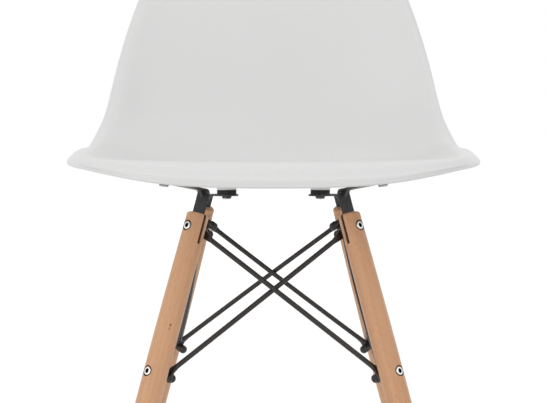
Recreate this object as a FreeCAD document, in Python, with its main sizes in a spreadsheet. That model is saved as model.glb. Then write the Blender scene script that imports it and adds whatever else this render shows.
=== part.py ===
import FreeCAD, Part
import math
import os
import Sketcher
from FreeCAD import Placement, Rotation, Vector

# A side chair: a moulded plastic shell on four round wooden legs, held by bent steel brackets and
# braced by eight crossing struts. Up is +Z, the front of the chair faces -Y, and +X is on the right
# when it is seen from the front. The origin is on the floor, under the middle of the outline.

doc = FreeCAD.newDocument("shell_chair")
sheet = doc.addObject("Spreadsheet::Sheet", "sizes")
rows = []


def driving(heading, **values):
    """Writes one group of driving dimensions to the sheet, each under its own alias."""
    rows.append(heading)
    sheet.set(f"A{len(rows)}", heading)
    for alias, number in values.items():
        rows.append(alias)
        sheet.set(f"A{len(rows)}", alias)
        sheet.set(f"B{len(rows)}", str(number))
        sheet.setAlias(f"B{len(rows)}", alias)
    doc.recompute()


def size(alias):
    """The value of one driving dimension."""
    return float(sheet.get(alias))


# The shell's middle line, seen from the side. It starts at the front edge, runs down into the
# seat, turns up at the heel and leans back to the top. Each angle is its rise above the horizontal.
driving(
    "shell middle line",
    seat_front_height=450.1,
    front_overhang=232.0,
    line_length=831.0,
    front_rise=4.0,
    seat_fall=-11.9,
    seat_rear_rise=-1.3,
    back_rise=82.9,
    top_rise=67.2,
    seat_fall_end=64.0,
    seat_rear_end=309.0,
    heel_start=303.0,
    heel_end=546.0,
)

# Ribs across the shell: where each one lies along the middle line, how far it reaches to each
# side, and how much its edge stands proud of the middle.
RIBS = ("front", "seat", "heel", "lumbar", "back", "top")
driving(
    "shell ribs",
    front_station=0.0,
    front_reach=234.6,
    front_dish=0.3,
    seat_station=225.0,
    seat_reach=235.2,
    seat_dish=47.7,
    heel_station=357.0,
    heel_reach=234.4,
    heel_dish=54.8,
    lumbar_station=465.0,
    lumbar_reach=219.3,
    lumbar_dish=66.4,
    back_station=631.0,
    back_reach=199.0,
    back_dish=49.6,
    top_reach=176.0,
    top_dish=30.0,
    dish_power=2.62,
)

# The outline's round corners and its rolled edge.
driving(
    "shell edge",
    wall=5.0,
    front_corner_inset=27.2,
    front_corner_setback=70.2,
    top_corner_inset=49.0,
    top_corner_setback=83.0,
    corner_power=3.7,
    front_roll_width=39.0,
    front_roll_drop=22.8,
    side_roll_width=23.4,
    side_roll_drop=10.8,
    top_roll_drop=9.0,
    roll_power=2.3,
    end_drop_power=2.3,
)

# The four bosses under the seat, where the brackets are screwed on.
driving(
    "mounts",
    front_mount_outboard=49.2,
    rear_mount_inboard=40.2,
    front_flange_tilt=10.0,
    rear_flange_tilt=1.0,
    boss_diameter=24.0,
    front_boss_height=1.6,
    rear_boss_height=4.3,
    insert_diameter=8.0,
    insert_length=5.2,
    thread_diameter=6.0,
    fit_gap=0.15,
)

driving(
    "pads, washers and screws",
    pad_diameter=24.0,
    pad_height=5.6,
    pad_groove=0.7,
    pad_round=0.8,
    washer_diameter=11.6,
    washer_height=2.0,
    screw_head_diameter=10.5,
    screw_head_height=1.8,
    screw_socket=4.0,
    head_round=1.0,
    socket_share=0.6,
    screw_engagement=4.8,
    clearance_hole=6.6,
)

driving(
    "brackets",
    plate=2.2,
    bar_width=19.0,
    bend_radius=3.0,
    bar_depth_in_leg=30.0,
    flange_beyond_hole=12.6,
    flange_corner=3.0,
    gusset=7.0,
    gusset_width=4.0,
    rear_bracket_rise=15.7,
)

driving(
    "legs",
    leg_top_across=171.5,
    leg_top_fore_and_aft=155.7,
    leg_splay=20.2,
    leg_top_radius=12.7,
    leg_belly_radius=13.7,
    leg_belly_down=203.5,
    leg_foot_radius=11.2,
    leg_top_round=3.0,
    leg_spare=1.0,
    slot_clearance=0.2,
    slot_depth=34.2,
    upper_bolt_down=16.9,
    lower_bolt_down=186.5,
    counterbore_depth=3.6,
    counterbore_diameter=12.5,
)

driving(
    "leg bolts and dome nuts",
    leg_bolt_diameter=6.0,
    bolt_head_diameter=10.0,
    bolt_head_height=3.2,
    bolt_socket=5.0,
    nut_across_flats=10.0,
    nut_hex_height=5.5,
    dome_radius=4.8,
    bolt_in_nut=4.5,
)

driving(
    "struts",
    rod_diameter=5.8,
    tab_thickness=3.0,
    tab_width=9.0,
    tab_length=8.0,
    neck_length=4.2,
    crossing_gap=0.3,
)

driving(
    "floor glides",
    glide_radius=10.0,
    glide_height=5.0,
    glide_chamfer=0.8,
    nail_diameter=2.2,
    nail_head_diameter=5.5,
    nail_head_height=1.0,
    nail_recess=2.2,
    nail_in_leg=14.0,
)

# Shell

STEP = 1.0
DIFFERENCE = 1e-4
CORNER_BACK_OFF = 0.97
SEWING = 0.01
CLOSE = 0.01
SLIVER = 1.0


def smooth_step(at, start, end):
    """Rises smoothly from 0 at start to 1 at end."""
    part = min(max((at - start) / (end - start), 0.0), 1.0)
    return part**3 * (part * (6 * part - 15) + 10)


def heading(station):
    """The middle line's rise above the horizontal at a station, in radians."""
    rise = size("front_rise")
    changes = (
        ("seat_fall", 0.0, size("seat_fall_end")),
        ("seat_rear_rise", size("seat_fall_end"), size("seat_rear_end")),
        ("back_rise", size("heel_start"), size("heel_end")),
        ("top_rise", size("heel_end"), size("line_length")),
    )
    before = rise
    for alias, start, end in changes:
        rise += (size(alias) - before) * smooth_step(station, start, end)
        before = size(alias)
    return math.radians(rise)


def walk_middle_line():
    """Places and headings along the middle line, one for each step, in the base's own frame."""
    place = Vector(0, -size("front_overhang"), size("seat_front_height"))
    stops = []
    for index in range(int(size("line_length") / STEP) + 2):
        turn = heading(index * STEP)
        stops.append((place, turn))
        middle = heading((index + 0.5) * STEP)
        place = place + Vector(0, math.cos(middle), math.sin(middle)) * STEP
    return stops


middle_line = walk_middle_line()


def on_middle_line(station):
    """Place and heading at any station, straight between two steps."""
    index = min(max(int(station / STEP), 0), len(middle_line) - 2)
    share = station / STEP - index
    (place, turn), (next_place, next_turn) = middle_line[index], middle_line[index + 1]
    return place + (next_place - place) * share, turn + (next_turn - turn) * share


def across_ribs(kind, station):
    """A rib size at any station: a smooth curve through the ribs' own values."""
    stations = [size(f"{rib}_station") for rib in RIBS[:-1]] + [size("line_length")]
    values = [size(f"{rib}_{kind}") for rib in RIBS]
    slopes = []
    for index in range(len(RIBS)):
        low, high = max(index - 1, 0), min(index + 1, len(RIBS) - 1)
        slopes.append((values[high] - values[low]) / (stations[high] - stations[low]))
    index = 0
    while index < len(RIBS) - 2 and station > stations[index + 1]:
        index += 1
    span = stations[index + 1] - stations[index]
    u = (station - stations[index]) / span
    return (
        (2 * u**3 - 3 * u**2 + 1) * values[index]
        + (u**3 - 2 * u**2 + u) * span * slopes[index]
        + (3 * u**2 - 2 * u**3) * values[index + 1]
        + (u**3 - u**2) * span * slopes[index + 1]
    )


def roll(distance, start):
    """Share of the edge's drop, from 0 where the roll starts to 1 at the edge."""
    return max((distance - start) / (1 - start), 0.0) ** size("roll_power")


def seat_point(a, b):
    """A point on the sitting side. a runs from -1 at the left edge to 1 at the right one, and b from
    -1 at the front edge to 1 at the top."""
    across, along = abs(a), abs(b)
    end = "front" if b < 0 else "top"
    half = size("line_length") / 2
    inset = size(f"{end}_corner_inset") / size(f"{end}_reach")
    setback = size(f"{end}_corner_setback") / half
    power = size("corner_power")
    end_power = (1 - inset) * (1 - setback) / (inset * setback * power)
    front_setback = size("front_corner_setback") / half
    top_setback = size("top_corner_setback") / half
    mixed_setback = front_setback + (top_setback - front_setback) * (b + 1) / 2

    reach_share = a * (1 - inset * along**end_power)
    station = (b * (1 - mixed_setback * across**power) + 1) * half
    place, turn = on_middle_line(station)

    side_roll = roll(across, 1 - size("side_roll_width") / size("seat_reach"))
    end_roll = roll(along, 1 - size("front_roll_width") / half)
    side_drop = size("side_roll_drop")
    middle_share = 1 - across ** size("end_drop_power")
    end_drop = side_drop + (size(f"{end}_roll_drop") - side_drop) * middle_share
    both = side_roll + end_roll
    drop = 0.0
    if both > 0:
        share = side_roll + end_roll - side_roll * end_roll
        drop = share * (end_roll * end_drop + side_roll * side_drop) / both

    rise = across_ribs("dish", station) * abs(reach_share) ** size("dish_power") - drop
    return Vector(
        across_ribs("reach", station) * reach_share,
        place.y - math.sin(turn) * rise,
        place.z + math.cos(turn) * rise,
    )


def seat_normal(a, b):
    """The direction square to the sitting side, on the sitter's side."""
    if min(abs(a), abs(b)) > CORNER_BACK_OFF:
        a = math.copysign(CORNER_BACK_OFF, a)
        b = math.copysign(CORNER_BACK_OFF, b)
    across = seat_point(a + DIFFERENCE, b) - seat_point(a - DIFFERENCE, b)
    along = seat_point(a, b + DIFFERENCE) - seat_point(a, b - DIFFERENCE)
    return across.cross(along).normalize()


def spread(count):
    """Grid places from -1 to 1, closer together towards the edges where the shell is rolled."""
    return [math.sin(math.pi / 2 * (2 * index / (count - 1) - 1)) for index in range(count)]


ACROSS = spread(27)
ALONG = spread(41)
EDGE_STEPS = 4


def sides_at(a, b):
    """The points on the sitting side and on the under side at one grid place."""
    top = seat_point(a, b)
    return top, top - seat_normal(a, b) * size("wall")


def smooth_surface(grid):
    """One smooth surface through a grid of points."""
    surface = Part.BSplineSurface()
    surface.interpolate(grid)
    return surface


def edge_rings(places):
    """Half circles of points round the shell's edge, one at each grid place along a stretch of it."""
    rings = []
    for index, (a, b) in enumerate(places):
        top, low = sides_at(a, b)
        before = sides_at(*places[max(index - 1, 0)])[0]
        after = sides_at(*places[min(index + 1, len(places) - 1)])[0]
        inward = sides_at(a * CORNER_BACK_OFF, b * CORNER_BACK_OFF)[0] - top
        radius = (top - low).Length / 2
        normal = (top - low).normalize()
        outward = (after - before).cross(normal).normalize()
        outward = outward * -math.copysign(1, outward.dot(inward))
        turns = [math.pi * step / EDGE_STEPS for step in range(EDGE_STEPS + 1)]
        rings.append(
            [
                (top + low) * 0.5 + (normal * math.cos(turn) + outward * math.sin(turn)) * radius
                for turn in turns
            ]
        )
    return rings


def edge_faces(rings, top_curve, low_curve):
    """Narrow faces round one stretch of the edge, from the sitting side to the under side."""
    ends = [(top_curve.parameter(ring[0]) + low_curve.parameter(ring[-1])) / 2 for ring in rings]
    ends[0], ends[-1] = top_curve.FirstParameter, top_curve.LastParameter
    curves = [top_curve]
    for step in range(1, EDGE_STEPS):
        curve = Part.BSplineCurve()
        curve.interpolate(Points=[ring[step] for ring in rings], Parameters=ends)
        curves.append(curve)
    curves.append(low_curve)
    return [
        Part.makeRuledSurface(one.toShape(), other.toShape())
        for one, other in zip(curves, curves[1:])
    ]


def moulded_sheet():
    """The shell without its bosses: two smooth sides joined by a round edge."""
    top = smooth_surface([[sides_at(a, b)[0] for b in ALONG] for a in ACROSS])
    low = smooth_surface([[sides_at(a, b)[1] for b in ALONG] for a in ACROSS])
    faces = [top.toShape(), low.toShape()]
    stretches = [
        (edge_rings([(a, -1.0) for a in ACROSS]), top.vIso(0.0), low.vIso(0.0)),
        (edge_rings([(a, 1.0) for a in ACROSS]), top.vIso(1.0), low.vIso(1.0)),
        (edge_rings([(-1.0, b) for b in ALONG]), top.uIso(0.0), low.uIso(0.0)),
        (edge_rings([(1.0, b) for b in ALONG]), top.uIso(1.0), low.uIso(1.0)),
    ]
    ends, sides = stretches[:2], stretches[2:]
    for end, place in zip(ends, (0, -1)):
        for side, corner in zip(sides, (0, -1)):
            shared = [
                (one + other) * 0.5 for one, other in zip(end[0][corner], side[0][place])
            ]
            end[0][corner] = shared
            side[0][place] = shared
    for rings, top_curve, low_curve in stretches:
        faces += edge_faces(rings, top_curve, low_curve)
    skin = Part.makeCompound(faces)
    skin.sewShape(SEWING)
    return faces_outwards(Part.makeSolid(skin.Shells[0])), low.toShape()


def faces_outwards(solid):
    if solid.Volume < 0:
        solid.reverse()
    return solid


blank, under_side = moulded_sheet()
shell_box = blank.BoundBox
to_middle = Placement(Vector(0, -(shell_box.YMin + shell_box.YMax) / 2, 0), Rotation())

# The base. Each leg leans outwards along its own diagonal, given here as a turn about the vertical.

CORNERS = {"front_left": 225, "front_right": 315, "rear_right": 45, "rear_left": 135}
UP = Vector(0, 0, 1)
ACROSS_BOLT = Vector(0, 1, 0)


def end_of(corner):
    return corner.split("_")[0]


def diagonal(corner):
    """The level direction from the middle of the base out through a corner."""
    turn = math.radians(CORNERS[corner])
    return Vector(math.cos(turn), math.sin(turn), 0)


def leg_top_in_plan(corner):
    way = diagonal(corner)
    return Vector(
        math.copysign(size("leg_top_across") / 2, way.x),
        math.copysign(size("leg_top_fore_and_aft") / 2, way.y),
        0,
    )


def under_seat(place):
    """Height of the shell's under side over a place in plan."""
    line = Part.makeLine(place, place + UP * 2 * size("seat_front_height"))
    return line.distToShape(under_side)[1][0][1].z


def mount_frame(corner):
    """Frame of a shell screw. Its origin is on the flange's upper face, x runs to the flange's free
    end, outboard at the front and inboard at the rear, and z runs up into the boss."""
    end = end_of(corner)
    if end == "front":
        turn, reach = CORNERS[corner], size("front_mount_outboard")
    else:
        turn, reach = CORNERS[corner] + 180, -size("rear_mount_inboard")
    rotation = Rotation(UP, turn) * Rotation(ACROSS_BOLT, -size(f"{end}_flange_tilt"))
    place = leg_top_in_plan(corner) + diagonal(corner) * reach
    place.z = under_seat(place)
    standing = size(f"{end}_boss_height") + size("pad_height")
    return Placement(place - rotation.multVec(UP) * standing, rotation)


def leg_top_height():
    """The rear flanges are the lower ones, so they set the height of the leg tops."""
    frame = mount_frame("rear_right")
    inboard = (leg_top_in_plan("rear_right") - frame.Base).dot(diagonal("rear_right"))
    fall = math.tan(math.radians(size("rear_flange_tilt"))) * inboard
    return frame.Base.z - fall - size("rear_bracket_rise")


def leg_frame(corner):
    """Frame of a leg. Its origin is at the middle of the leg's top end, x points outwards along the
    bolts and z runs up the leg."""
    place = leg_top_in_plan(corner) + UP * leg_top_height()
    lean = Rotation(ACROSS_BOLT, -size("leg_splay"))
    return Placement(place, Rotation(UP, CORNERS[corner]) * lean)


splay = math.radians(size("leg_splay"))
leg_length = (leg_top_height() - size("glide_height")) / math.cos(splay)
leg_blank = leg_length + size("leg_foot_radius") * math.tan(splay) + size("leg_spare")


def leg_shape():
    """How a leg's radius changes on the way down: its first taper, and how that taper turns."""
    down = size("leg_top_round"), size("leg_belly_down"), leg_length
    radius = size("leg_top_radius"), size("leg_belly_radius"), size("leg_foot_radius")
    upper = (radius[1] - radius[0]) / (down[1] - down[0])
    lower = (radius[2] - radius[1]) / (down[2] - down[1])
    return upper, (lower - upper) / (down[2] - down[0])


leg_taper, leg_swell = leg_shape()


def leg_radius(down):
    """A leg's radius at a distance below its top end."""
    below_round = down - size("leg_top_round")
    swelling = below_round * (down - size("leg_belly_down"))
    return size("leg_top_radius") + leg_taper * below_round + leg_swell * swelling


def flange_sizes(end):
    """The screw's place in the leg's frame, and the flange's slope there."""
    corner = f"{end}_right"
    place = leg_frame(corner).inverse().multVec(mount_frame(corner).Base)
    tilt = size(f"{end}_flange_tilt")
    slope = tilt - size("leg_splay") if end == "front" else -tilt - size("leg_splay")
    side = 1 if end == "front" else -1
    return place.x, place.z, slope, side


front_x, front_z, front_slope, front_side = flange_sizes("front")
rear_x, rear_z, rear_slope, rear_side = flange_sizes("rear")
driving(
    "worked out from the sizes above",
    leg_length=leg_length,
    leg_blank=leg_blank,
    leg_taper=leg_taper,
    leg_swell=leg_swell,
    upper_bolt_radius=leg_radius(size("upper_bolt_down")),
    lower_bolt_radius=leg_radius(size("lower_bolt_down")),
    front_screw_x=front_x,
    front_screw_z=front_z,
    front_slope=front_slope,
    front_side=front_side,
    rear_screw_x=rear_x,
    rear_screw_z=rear_z,
    rear_slope=rear_slope,
    rear_side=rear_side,
)

# Ways of shaping a piece

FIRST_POINT, LAST_POINT, CENTRE_POINT = 1, 2, 3
ORIGIN = (-1, 1)
FULL_TURN = 360


def sketch_on(body, name, role, height=None, lean=None, start=None):
    """A sketch on one of a body's own planes, which may be lifted, moved along and leaned."""
    sketch = body.newObject("Sketcher::SketchObject", name)
    support = next(part for part in body.Origin.OriginFeatures if part.Role == role)
    sketch.AttachmentSupport = (support, [""])
    sketch.MapMode = "FlatFace"
    if lean:
        sketch.AttachmentOffset = Placement(Vector(), Rotation(ACROSS_BOLT, 1))
        sketch.setExpression(".AttachmentOffset.Rotation.Angle", lean)
    if start:
        sketch.setExpression(".AttachmentOffset.Base.x", start)
    if height:
        sketch.setExpression(".AttachmentOffset.Base.z", height)
    return sketch


def fix(sketch, kind, number, text, *places):
    """One dimension of a sketch, bound to the sheet."""
    index = sketch.addConstraint(Sketcher.Constraint(kind, *places, number))
    sketch.setExpression(f"Constraints[{index}]", text)


def worked_out(sketch, text):
    return float(sketch.evalExpression(text))


def outline(sketch, corners, arcs=None):
    """A closed outline, drawn anticlockwise, with every corner bound to the sheet. A side listed in
    arcs bulges outwards on that radius."""
    arcs = arcs or {}
    places = [Vector(*(worked_out(sketch, text) for text in corner), 0) for corner in corners]
    following = places[1:] + places[:1]
    for index, (start, end) in enumerate(zip(places, following)):
        if index in arcs:
            radius = worked_out(sketch, arcs[index])
            chord = end - start
            rise = radius - math.sqrt(max(radius**2 - chord.Length**2 / 4, 0))
            right = Vector(chord.y, -chord.x, 0).normalize()
            through = (start + end) / 2 + right * rise
            sketch.addGeometry(Part.Arc(start, through, end), False)
            fix(sketch, "Radius", radius, arcs[index], index)
        else:
            sketch.addGeometry(Part.LineSegment(start, end), False)
    for index, (corner, place) in enumerate(zip(corners, places)):
        before = (index - 1) % len(corners)
        joint = Sketcher.Constraint("Coincident", before, LAST_POINT, index, FIRST_POINT)
        sketch.addConstraint(joint)
        fix(sketch, "DistanceX", place.x, corner[0], *ORIGIN, index, FIRST_POINT)
        fix(sketch, "DistanceY", place.y, corner[1], *ORIGIN, index, FIRST_POINT)
    return sketch


def round_hole(sketch, diameter, height="0"):
    """A circle on the sketch's upright axis."""
    middle = Vector(0, worked_out(sketch, height), 0)
    radius = worked_out(sketch, diameter) / 2
    circle = sketch.addGeometry(Part.Circle(middle, UP, radius), False)
    fix(sketch, "Diameter", 2 * radius, diameter, circle)
    fix(sketch, "DistanceX", middle.x, "0", *ORIGIN, circle, CENTRE_POINT)
    fix(sketch, "DistanceY", middle.y, height, *ORIGIN, circle, CENTRE_POINT)
    return sketch


def hexagon(sketch, flats):
    """A hexagon about the origin, given by its width across flats."""
    turns = range(0, FULL_TURN, FULL_TURN // 6)
    corners = [(f"{flats} / sqrt(3) * cos({turn})", f"{flats} / sqrt(3) * sin({turn})") for turn in turns]
    return outline(sketch, corners)


def new_body(name):
    body = doc.addObject("PartDesign::Body", name)
    body.Label = name
    return body


def turned(body, corners, arcs=None):
    """A piece turned about its own upright axis."""
    sketch = outline(sketch_on(body, f"{body.Name}_profile", "XZ_Plane"), corners, arcs)
    blank = body.newObject("PartDesign::Revolution", f"{body.Name}_turned")
    blank.Profile = sketch
    blank.ReferenceAxis = (sketch, ["V_Axis"])
    blank.Angle = FULL_TURN
    doc.recompute()
    return blank


def padded(body, sketch, length):
    """A plate of even thickness about the sketch's plane."""
    pad = body.newObject("PartDesign::Pad", f"{sketch.Name}_plate")
    pad.Profile = sketch
    pad.SideType = "Symmetric"
    pad.setExpression("Length", length)
    doc.recompute()
    return pad


def cut(body, sketch, ways="Symmetric", length=None):
    """Takes the sketched shape out of the body: both ways, or only to the sketch's front or back."""
    pocket = body.newObject("PartDesign::Pocket", f"{sketch.Name}_cut")
    pocket.Profile = sketch
    pocket.SideType = "Symmetric" if ways == "Symmetric" else "One side"
    pocket.Reversed = ways == "Front"
    pocket.Type = "Length" if length else "ThroughAll"
    if length:
        pocket.setExpression("Length", length)
    doc.recompute()
    return pocket


def rounded(body, feature, radius, chosen):
    """Rounds those edges of a feature that the test chooses."""
    names = [f"Edge{index + 1}" for index, edge in enumerate(feature.Shape.Edges) if chosen(edge)]
    fillet = body.newObject("PartDesign::Fillet", f"{feature.Name}_round{len(body.Group)}")
    fillet.Base = (feature, names)
    fillet.setExpression("Radius", radius)
    doc.recompute()
    return fillet


def settle(part, frame):
    """Puts a finished piece in its place in the chair."""
    part.Placement = to_middle * frame


def set_of(name, placed):
    """Like loose pieces, each in its own place, kept together as one sub-part."""
    copies = []
    for body, frame in placed:
        copy = body.Shape.copy()
        copy.Placement = frame
        copies.append(copy)
    part = doc.addObject("Part::Feature", name)
    part.Label = name
    part.Shape = Part.makeCompound(copies)
    settle(part, Placement())
    return part


def bored(alias):
    """Width of a hole in which a round piece of that size slides."""
    return f"(sizes.{alias} + 2 * sizes.fit_gap)"


# Shell, with the four bosses and the holes in them that hold the threaded inserts

moulding = doc.addObject("Part::Feature", "moulding")
moulding.Shape = blank


def round_bar(name, frame, diameter, height):
    bar = doc.addObject("Part::Cylinder", name)
    bar.setExpression("Radius", f"{diameter} / 2")
    bar.setExpression("Height", height)
    bar.Placement = frame
    return bar


bosses = []
insert_holes = []
for corner in CORNERS:
    end = end_of(corner)
    on_pad = mount_frame(corner) * Placement(UP * size("pad_height"), Rotation())
    into_wall = f"sizes.{end}_boss_height + sizes.wall / 2"
    bosses.append(round_bar(f"boss_{corner}", on_pad, "sizes.boss_diameter", into_wall))
    hole = round_bar(
        f"insert_hole_{corner}", on_pad, bored("insert_diameter"), "sizes.insert_length"
    )
    insert_holes.append(hole)

moulding_with_bosses = doc.addObject("Part::MultiFuse", "moulding_with_bosses")
moulding_with_bosses.Shapes = [moulding] + bosses
holes = doc.addObject("Part::Compound", "insert_holes")
holes.Links = insert_holes
shell = doc.addObject("Part::Cut", "shell")
shell.Base = moulding_with_bosses
shell.Tool = holes
doc.recompute()
settle(shell, Placement())

# Threaded inserts in the bosses. They stand on the pads, so their frame is the screw's own.


def ring(name, low, high, bore, outside):
    """A plain ring about the upright axis."""
    body = new_body(name)
    corners = [(bore, low), (outside, low), (outside, high), (bore, high)]
    turned(body, corners)
    return body


insert = ring(
    "shell_insert",
    "sizes.pad_height",
    "sizes.pad_height + sizes.insert_length",
    f"{bored('thread_diameter')} / 2",
    "sizes.insert_diameter / 2",
)
washer = ring(
    "shell_washer",
    "-sizes.plate - sizes.washer_height",
    "-sizes.plate",
    "sizes.clearance_hole / 2",
    "sizes.washer_diameter / 2",
)


def socket_screw(name, head_low, head_high, tip, head_diameter, shank_diameter, socket):
    """A screw whose round head looks down and whose shank stands up."""
    body = new_body(name)
    head = f"sizes.{head_diameter} / 2"
    shank = f"sizes.{shank_diameter} / 2"
    corners = [
        ("0", head_low),
        (f"{head} - sizes.head_round", head_low),
        (head, f"{head_low} + sizes.head_round"),
        (head, head_high),
        (shank, head_high),
        (shank, tip),
        ("0", tip),
    ]
    turned(body, corners, {1: "sizes.head_round"})
    depth = f"{head_low} + ({head_high} - ({head_low})) * sizes.socket_share"
    opening = sketch_on(body, f"{name}_socket", "XY_Plane", height=depth)
    cut(body, hexagon(opening, f"sizes.{socket}"), "Back")
    return body


under_washer = "-sizes.plate - sizes.washer_height"
screw = socket_screw(
    "shell_screw",
    f"{under_washer} - sizes.screw_head_height",
    under_washer,
    "sizes.pad_height + sizes.screw_engagement",
    "screw_head_diameter",
    "thread_diameter",
    "screw_socket",
)
mounts = [mount_frame(corner) for corner in CORNERS]
set_of("shell_inserts", [(insert, frame) for frame in mounts])
set_of("shell_washers", [(washer, frame) for frame in mounts])
set_of("shell_screws", [(screw, frame) for frame in mounts])

# Rubber pads between the flanges and the bosses, each with two fine grooves round its side

for corner in CORNERS:
    pad = new_body(f"pad_{corner}")
    bore, outside = "sizes.clearance_hole / 2", "sizes.pad_diameter / 2"
    corners = [(bore, "0"), (f"{outside} - sizes.pad_round", "0"), (outside, "sizes.pad_round")]
    for groove in (1, 2):
        middle = f"sizes.pad_height * {groove} / 3"
        corners += [
            (outside, f"{middle} - sizes.pad_groove / 2"),
            (f"{outside} - sizes.pad_groove", middle),
            (outside, f"{middle} + sizes.pad_groove / 2"),
        ]
    corners += [
        (outside, "sizes.pad_height - sizes.pad_round"),
        (f"{outside} - sizes.pad_round", "sizes.pad_height"),
        (bore, "sizes.pad_height"),
    ]
    turned(pad, corners, {1: "sizes.pad_round", 9: "sizes.pad_round"})
    settle(pad, mount_frame(corner))

# Steel brackets, each a flat bar that stands in the leg's saw cut and is bent over under the seat


def flange_height(end, x, under=0):
    """Height of the flange's upper face, or of its under face, along the leg's own x."""
    slope = f"sizes.{end}_slope"
    upper = f"sizes.{end}_screw_z + ({x} - sizes.{end}_screw_x) * tan({slope})"
    return f"{upper} - {under} * sizes.plate / cos({slope})"


NEARLY_ONE = 0.99


def along_y(edge):
    return abs(edge.tangentAt(edge.FirstParameter).y) > NEARLY_ONE


def bracket(corner):
    end = end_of(corner)
    side, slope = f"sizes.{end}_side", f"sizes.{end}_slope"
    body = new_body(f"bracket_{corner}")
    face = f"{side} * sizes.plate / 2"
    tip = f"sizes.{end}_screw_x + {side} * sizes.flange_beyond_hole * cos({slope})"
    under_tip = f"{tip} + sizes.plate * sin({slope})"
    low = "-sizes.bar_depth_in_leg"
    corners = [
        (f"-{face}", flange_height(end, f"-{face}")),
        (f"-{face}", low),
        (face, low),
        (face, flange_height(end, face, 1)),
        (under_tip, flange_height(end, under_tip, 1)),
        (tip, flange_height(end, tip)),
    ]
    web = [
        (face, f"{flange_height(end, face, 1)} - sizes.gusset"),
        (f"{face} + {side} * sizes.gusset", flange_height(end, f"{face} + {side} * sizes.gusset", 1)),
        (face, flange_height(end, face, 1)),
    ]
    if end == "rear":
        corners.reverse()
        web.reverse()
    profile = outline(sketch_on(body, f"{body.Name}_profile", "XZ_Plane"), corners)
    blank = padded(body, profile, "sizes.bar_width")
    half = size("bar_width") / 2
    bend_x = [size(f"{end}_side") * sign * size("plate") / 2 for sign in (-1, 1)]

    def at_bend(edge, x):
        return along_y(edge) and abs(edge.CenterOfMass.x - x) < CLOSE and edge.CenterOfMass.z > 0

    outer = rounded(
        body, blank, "sizes.bend_radius + sizes.plate", lambda edge: at_bend(edge, bend_x[0])
    )
    inner = rounded(body, outer, "sizes.bend_radius", lambda edge: at_bend(edge, bend_x[1]))
    far = abs(size(f"{end}_screw_x")) + size("flange_beyond_hole") / 2

    def at_tip(edge):
        middle = edge.CenterOfMass
        square_to_plate = edge.Length < size("plate") + CLOSE
        return square_to_plate and abs(middle.x) > far and abs(abs(middle.y) - half) < CLOSE

    rounded(body, inner, "sizes.flange_corner", at_tip)
    padded(body, outline(sketch_on(body, f"{body.Name}_web", "XZ_Plane"), web), "sizes.gusset_width")
    screw_hole = sketch_on(
        body,
        f"{body.Name}_screw_hole",
        "XY_Plane",
        start=f"sizes.{end}_screw_x",
        height=f"sizes.{end}_screw_z",
        lean=f"-{slope}",
    )
    cut(body, round_hole(screw_hole, "sizes.clearance_hole"))
    bolt_hole = sketch_on(body, f"{body.Name}_bolt_hole", "YZ_Plane")
    cut(body, round_hole(bolt_hole, bored("leg_bolt_diameter"), "-sizes.upper_bolt_down"))
    settle(body, leg_frame(corner))


# Legs of turned beech, each with a saw cut for its bracket, two bolt holes and a foot sawn level.
# A leg swells gently towards its middle, in short tapers.

LEG_TAPERS = 8
LEVELS = ("upper", "lower")
PAST_LEG = "4 * sizes.leg_belly_radius"


def leg(corner):
    body = new_body(f"leg_{corner}")
    corners = [("0", "-sizes.leg_blank")]
    for step in range(LEG_TAPERS + 1):
        down = f"(sizes.leg_blank + (sizes.leg_top_round - sizes.leg_blank) * {step} / {LEG_TAPERS})"
        below_round = f"({down} - sizes.leg_top_round)"
        swelling = f"sizes.leg_swell * {below_round} * ({down} - sizes.leg_belly_down)"
        radius = f"sizes.leg_top_radius + sizes.leg_taper * {below_round} + {swelling}"
        corners.append((radius, f"-{down}"))
    corners += [("sizes.leg_top_radius - sizes.leg_top_round", "0"), ("0", "0")]
    turned(body, corners, {LEG_TAPERS + 1: "sizes.leg_top_round"})
    half = "(sizes.plate / 2 + sizes.slot_clearance)"
    slot = [
        (f"-{half}", "-sizes.slot_depth"),
        (half, "-sizes.slot_depth"),
        (half, "sizes.leg_top_round"),
        (f"-{half}", "sizes.leg_top_round"),
    ]
    cut(body, outline(sketch_on(body, f"{body.Name}_slot", "XZ_Plane"), slot))
    for level in LEVELS:
        down = f"-sizes.{level}_bolt_down"
        hole = sketch_on(body, f"{body.Name}_{level}_hole", "YZ_Plane")
        round_hole(hole, bored("leg_bolt_diameter"), down)
        cut(body, hole, length=PAST_LEG)
        seat = f"sizes.{level}_bolt_radius - sizes.counterbore_depth"
        bore = sketch_on(body, f"{body.Name}_{level}_counterbore", "YZ_Plane", height=seat)
        cut(body, round_hole(bore, "sizes.counterbore_diameter", down), "Front")
    foot = {"height": "-sizes.leg_length", "lean": "sizes.leg_splay"}
    sawn = sketch_on(body, f"{body.Name}_foot", "XY_Plane", **foot)
    cut(body, round_hole(sawn, PAST_LEG), "Back")
    nail_hole = sketch_on(body, f"{body.Name}_nail_hole", "XY_Plane", **foot)
    cut(body, round_hole(nail_hole, "sizes.nail_diameter"), "Front", "sizes.nail_in_leg")
    settle(body, leg_frame(corner))


for corner in CORNERS:
    bracket(corner)
    leg(corner)

# Leg bolts and the dome nuts on their inner ends. Two flattened strut ends lie under each nut.

INWARDS = Rotation(ACROSS_BOLT, -90)
STACK = "(2 * sizes.tab_thickness + sizes.fit_gap)"
bolts = {}
for level in LEVELS:
    seat = f"sizes.{level}_bolt_radius - sizes.counterbore_depth"
    bolts[level] = socket_screw(
        f"{level}_leg_bolt",
        f"-({seat}) - sizes.bolt_head_height",
        f"-({seat})",
        f"sizes.{level}_bolt_radius + {STACK} + sizes.bolt_in_nut",
        "bolt_head_diameter",
        "leg_bolt_diameter",
        "bolt_socket",
    )

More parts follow.
